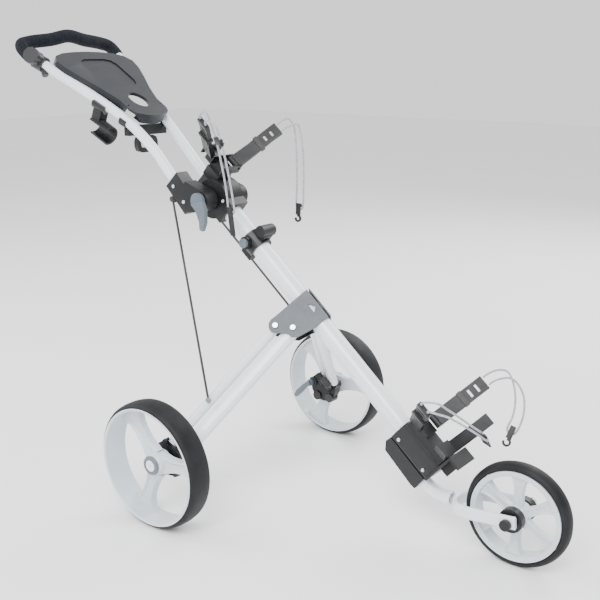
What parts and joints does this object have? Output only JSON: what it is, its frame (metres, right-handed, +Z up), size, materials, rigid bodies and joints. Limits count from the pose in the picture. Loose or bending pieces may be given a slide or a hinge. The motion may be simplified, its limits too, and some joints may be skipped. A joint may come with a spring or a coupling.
{
  "type": "golf push trolley",
  "caption": "Three-wheeled push trolley: sloping main tube, folding handle with a console tray, splayed folding rear legs, bag cradles and a forked front wheel.",
  "frame": {"origin": "centre of the bounding box in x and y, at the floor", "axes": "+X forward to the front wheel, +Y to the pusher's left, +Z up"},
  "size_m": [1.4506, 0.736, 1.0539],
  "materials": {
    "white_paint": "gloss white",
    "rim_plastic": "satin light grey",
    "tyre": "smooth",
    "black_plastic": "satin",
    "tray_plastic": "satin",
    "grey_plate": "satin dark grey",
    "grey_plastic": "satin mid grey",
    "foam": "matte foam",
    "steel": "plated",
    "black_wire": "satin black",
    "elastic_cord": "braided cover",
    "webbing": "woven"
  },
  "bodies": {
    "frame": {"main_tube": "white_paint", "hinge_housing": "black_plastic", "hinge_pin": "steel", "upper_cradle_base": "black_plastic", "tube_collar": "black_plastic", "leg_pivot_block": "black_plastic", "lower_bracket_body": "black_plastic", "lower_bracket_cover": "black_plastic", "lower_cradle": "black_plastic", "bag_ledge": "black_plastic", "lower_bag_arm_right": "black_plastic", "lower_bag_arm_left": "black_plastic", "elastic_cord_lower_right": "elastic_cord", "elastic_cord_lower_left": "elastic_cord", "cord_hook_lower": "black_plastic", "cord_buckle_lower": "black_plastic", "fork_stem": "white_paint", "front_fork": "white_paint", "front_axle": "black_plastic", "leg_bracket_plate_right": "grey_plate", "leg_bracket_plate_left": "grey_plate", "leg_pivot_bolt_right": "steel", "leg_pivot_bolt_left": "steel", "link_pivot_bolt_right": "steel", "link_pivot_bolt_left": "steel"},
    "front_wheel": {"front_rim": "rim_plastic", "front_tyre": "tyre", "front_hub_cap_right": "black_plastic", "front_hub_cap_left": "black_plastic"},
    "handle": {"handle_clamp_right": "black_plastic", "handle_clamp_left": "black_plastic", "handle_frame": "white_paint", "handle_grip": "foam", "console_tray": "tray_plastic", "accessory_clamp": "black_plastic", "accessory_holder": "black_plastic", "holder_loop": "black_plastic"},
    "fold_lever": {"fold_lever": "grey_plastic"},
    "catch_button": {"collar_button": "grey_plastic"},
    "bag_arm_right": {"upper_bag_arm_right": "black_plastic", "elastic_cord_upper_right": "elastic_cord", "pull_strap": "webbing"},
    "bag_arm_left": {"upper_bag_arm_left": "black_plastic", "elastic_cord_upper_left": "elastic_cord", "cord_hook_upper": "black_plastic"},
    "leg_right": {"leg_tube_right": "white_paint"},
    "link_right": {"link_tube_right": "white_paint"},
    "carrier_right": {"wheel_carrier_right": "black_plastic"},
    "rear_wheel_right": {"rear_rim_right": "rim_plastic", "rear_tyre_right": "tyre", "hub_cap_right": "grey_plastic"},
    "rod_right": {"fold_rod_right": "black_wire"},
    "leg_left": {"leg_tube_left": "white_paint"},
    "link_left": {"link_tube_left": "white_paint"},
    "carrier_left": {"wheel_carrier_left": "black_plastic"},
    "rear_wheel_left": {"rear_rim_left": "rim_plastic", "rear_tyre_left": "tyre", "hub_cap_left": "grey_plastic"},
    "rod_left": {"fold_rod_left": "black_wire"},
    "brake_pedal": {"brake_pedal": "grey_plastic"}
  },
  "joints": [
    {"name": "handle_fold", "type": "hinge", "parent": "frame", "child": "handle", "pos_m": [-0.18581, 0, 0.67645], "axis": [0, 1, 0], "range_deg": [0, 170]},
    {"name": "fold_lever_pull", "type": "hinge", "parent": "handle", "child": "fold_lever", "pos_m": [-0.18581, 0, 0.67645], "axis": [0, 1, 0], "range_deg": [0, 40]},
    {"name": "catch_button_press", "type": "slide", "parent": "frame", "child": "catch_button", "axis": [0, 1, 0], "range_m": [0, 0.003], "stiffness_N_per_m": 600},
    {"name": "bag_arm_right_fold", "type": "hinge", "parent": "frame", "child": "bag_arm_right", "pos_m": [-0.19044, -0.024, 0.78035], "axis": [-0.7604, 0, 0.6494], "range_deg": [0, 118], "deforming": ["elastic_cord_upper_right", "pull_strap"]},
    {"name": "bag_arm_left_fold", "type": "hinge", "parent": "frame", "child": "bag_arm_left", "pos_m": [-0.16231, 0.024, 0.75632], "axis": [0.7604, 0, -0.6494], "range_deg": [0, 118], "deforming": ["elastic_cord_upper_left"]},
    {"name": "leg_right_fold", "type": "hinge", "parent": "frame", "child": "leg_right", "pos_m": [0.06781, -0.0424, 0.411], "axis": [0.4306, -0.7486, 0.5042], "range_deg": [0, 74]},
    {"name": "link_right_fold", "type": "hinge", "parent": "frame", "child": "link_right", "pos_m": [0.03253, -0.06097, 0.41357], "axis": [0.4306, -0.7486, 0.5042], "range_deg": [0, 74]},
    {"name": "carrier_right_level", "type": "hinge", "parent": "leg_right", "child": "carrier_right", "pos_m": [-0.04377, -0.2605, 0.18251], "axis": [-0.4306, 0.7486, -0.5042], "range_deg": [0, 74]},
    {"name": "rear_wheel_right_spin", "type": "hinge", "parent": "carrier_right", "child": "rear_wheel_right", "pos_m": [-0.08669, -0.337, 0.145], "axis": [0, 1, 0], "continuous": true},
    {"name": "rod_right_swing", "type": "hinge", "parent": "link_right", "child": "rod_right", "pos_m": [-0.0341, -0.21822, 0.27072], "axis": [-0.2556, 0.8057, -0.5344], "range_deg": [0, 53.15]},
    {"name": "leg_left_fold", "type": "hinge", "parent": "frame", "child": "leg_left", "pos_m": [0.06781, 0.0424, 0.411], "axis": [-0.4306, -0.7486, -0.5042], "range_deg": [0, 74]},
    {"name": "link_left_fold", "type": "hinge", "parent": "frame", "child": "link_left", "pos_m": [0.03253, 0.06097, 0.41357], "axis": [-0.4306, -0.7486, -0.5042], "range_deg": [0, 74]},
    {"name": "carrier_left_level", "type": "hinge", "parent": "leg_left", "child": "carrier_left", "pos_m": [-0.04377, 0.2605, 0.18251], "axis": [0.4306, 0.7486, 0.5042], "range_deg": [0, 74]},
    {"name": "rear_wheel_left_spin", "type": "hinge", "parent": "carrier_left", "child": "rear_wheel_left", "pos_m": [-0.08669, 0.337, 0.145], "axis": [0, 1, 0], "continuous": true},
    {"name": "rod_left_swing", "type": "hinge", "parent": "link_left", "child": "rod_left", "pos_m": [-0.0341, 0.21822, 0.27072], "axis": [0.2556, 0.8057, 0.5344], "range_deg": [0, 53.15]},
    {"name": "brake_pedal_press", "type": "hinge", "parent": "carrier_left", "child": "brake_pedal", "pos_m": [-0.12469, 0.271, 0.151], "axis": [0, 1, 0], "range_deg": [0, 25]},
    {"name": "front_wheel_spin", "type": "hinge", "parent": "frame", "child": "front_wheel", "pos_m": [0.61231, 0, 0.113], "axis": [0, 1, 0], "continuous": true}
  ],
  "couplings": [
    {"joint": "bag_arm_right_fold", "follows": "handle_fold", "ratio": 0.69411},
    {"joint": "bag_arm_left_fold", "follows": "handle_fold", "ratio": 0.69411},
    {"joint": "link_right_fold", "follows": "leg_right_fold", "ratio": 1},
    {"joint": "carrier_right_level", "follows": "leg_right_fold", "ratio": 1},
    {"joint": "rod_right_swing", "follows": "leg_right_fold", "ratio": 0.71763},
    {"joint": "leg_left_fold", "follows": "leg_right_fold", "ratio": 1},
    {"joint": "link_left_fold", "follows": "leg_right_fold", "ratio": 1},
    {"joint": "carrier_left_level", "follows": "leg_right_fold", "ratio": 1},
    {"joint": "rod_left_swing", "follows": "leg_right_fold", "ratio": 0.71763}
  ]
}
